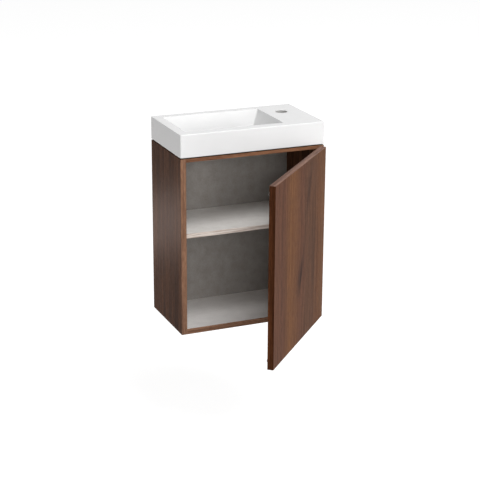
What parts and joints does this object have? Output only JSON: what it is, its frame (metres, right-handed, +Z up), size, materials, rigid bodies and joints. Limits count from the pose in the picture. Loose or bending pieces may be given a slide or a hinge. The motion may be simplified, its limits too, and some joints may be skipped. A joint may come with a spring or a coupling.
{
  "type": "cloakroom vanity unit",
  "caption": "Wall-hung cloakroom vanity unit: a rectangular basin with a tap ledge on its right, on a wood-veneered cabinet with a hinged door and a shelf inside.",
  "frame": {"origin": "on the wall plane, midway between the wall cleat's two holes", "axes": "+X to the right seen from the front, +Y back into the wall, +Z up"},
  "size_m": [0.4005, 0.5192, 0.538],
  "materials": {
    "basin": "gloss white",
    "sealant": "smoky clear, satin",
    "carcass": "dark walnut, satin",
    "grey_board": "light grey faced board, satin",
    "back_panel": "grey faced thin board",
    "edging": "walnut edging, satin",
    "dowel": "raw beech",
    "shelf": "pale wood-grain faced board",
    "shelf_edging": "pale wood-grain edging",
    "door": "walnut, vertical grain, satin",
    "door_edging": "walnut edging, satin",
    "buffer": "clear soft plastic",
    "nickel": "nickel plated",
    "zinc": "zinc plated",
    "screw": "bright zinc plated",
    "spring": "spring steel"
  },
  "bodies": {
    "cabinet": {"basin": "basin", "sealant_bead": "sealant", "left_side": "carcass", "right_side": "carcass", "floor_board": "grey_board", "front_rail": "carcass", "hanging_rail": "carcass", "back_panel": "back_panel", "cabinet_edging": "edging", "dowels": "dowel", "shelf": "shelf", "shelf_edging": "shelf_edging", "shelf_pins": "nickel", "cabinet_cleat": "zinc", "wall_cleat": "zinc", "cleat_screws": "screw", "upper_hinge_arm": "nickel", "lower_hinge_arm": "nickel", "upper_mounting_plate": "nickel", "lower_mounting_plate": "nickel", "plate_screws": "screw", "fixing_screws": "screw", "adjusting_screws": "screw"},
    "door": {"door": "door", "door_edging": "door_edging", "door_buffers": "buffer", "upper_hinge_cup": "nickel", "lower_hinge_cup": "nickel", "hinge_pins": "screw", "closing_springs": "spring", "cup_screws": "screw"}
  },
  "joints": [
    {"name": "door_swing", "type": "hinge", "parent": "cabinet", "child": "door", "pos_m": [0.191, -0.2326, -0.194], "axis": [0, 0, 1], "range_deg": [-46.5, 48.5]}
  ]
}
